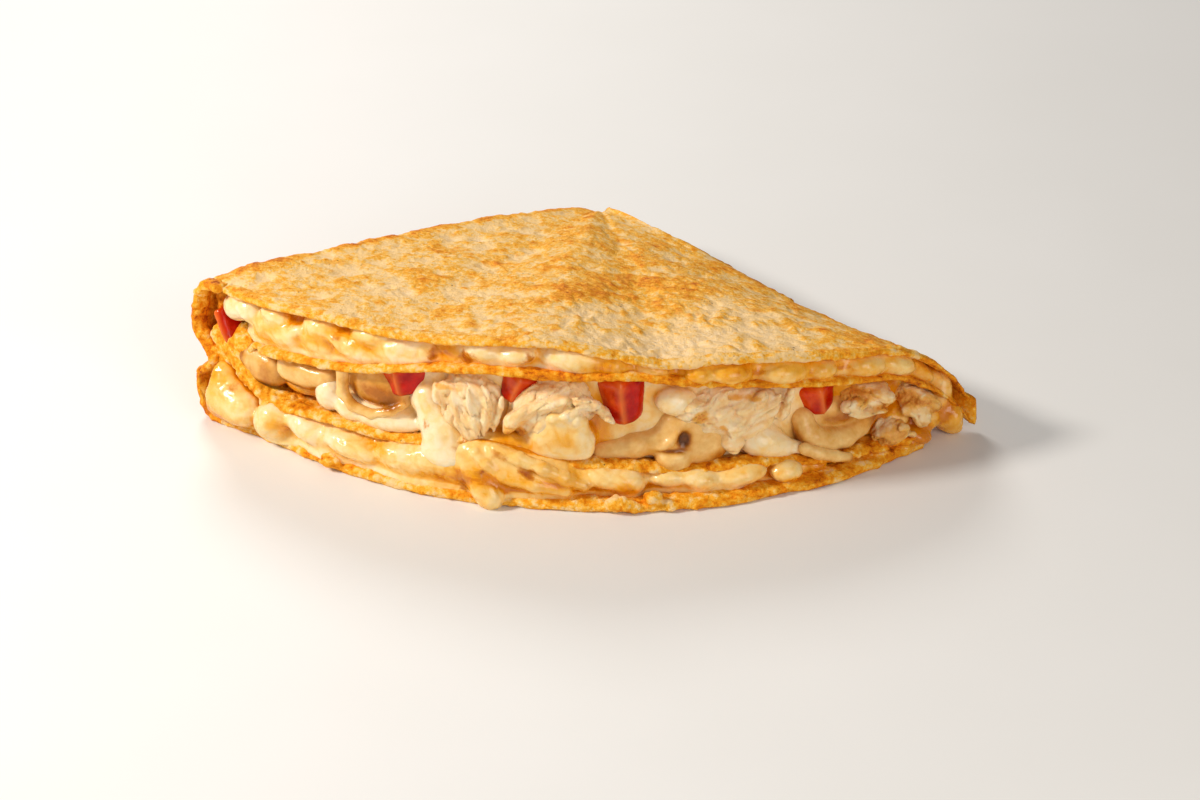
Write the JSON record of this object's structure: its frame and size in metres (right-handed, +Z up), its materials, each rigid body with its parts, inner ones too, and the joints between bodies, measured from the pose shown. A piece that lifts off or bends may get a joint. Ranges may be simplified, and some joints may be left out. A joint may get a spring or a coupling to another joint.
{
  "type": "chicken wrap",
  "caption": "Quarter-folded toasted tortilla wrap lying flat, its open curved side showing melted cheese, chicken, mushroom and tomato between the sheets.",
  "frame": {"origin": "bottom centre of the wrap's bounding box", "axes": "+X to the right seen from the open curved side, +Y towards the point of the quarter, +Z up"},
  "size_m": [0.2218, 0.156, 0.0485],
  "materials": {
    "tortilla": "toasted flour tortilla, cream to golden brown, dry and slightly rough",
    "cheese": "melted cheese, pale cream to golden, glossy",
    "chicken": "cooked chicken breast, off-white with golden brown edges, moist",
    "mushroom": "cooked mushroom, tan with brown edges, moist",
    "tomato": "diced tomato, deep red, wet"
  },
  "bodies": {
    "root": {"tortilla": "tortilla", "cheese_upper": "cheese", "cheese_middle": "cheese", "cheese_lower": "cheese", "chicken_left": "chicken", "chicken_middle": "chicken", "chicken_right": "chicken", "chicken_far_right": "chicken", "chicken_end": "chicken", "chicken_scrap": "chicken", "mushroom_fold": "mushroom", "mushroom_left": "mushroom", "mushroom_brown": "mushroom", "mushroom_middle": "mushroom", "mushroom_curl": "mushroom", "mushroom_strip": "mushroom", "tomato_fold": "tomato", "tomato_left": "tomato", "tomato_middle": "tomato", "tomato_wedge": "tomato", "tomato_right": "tomato"}
  },
  "joints": []
}
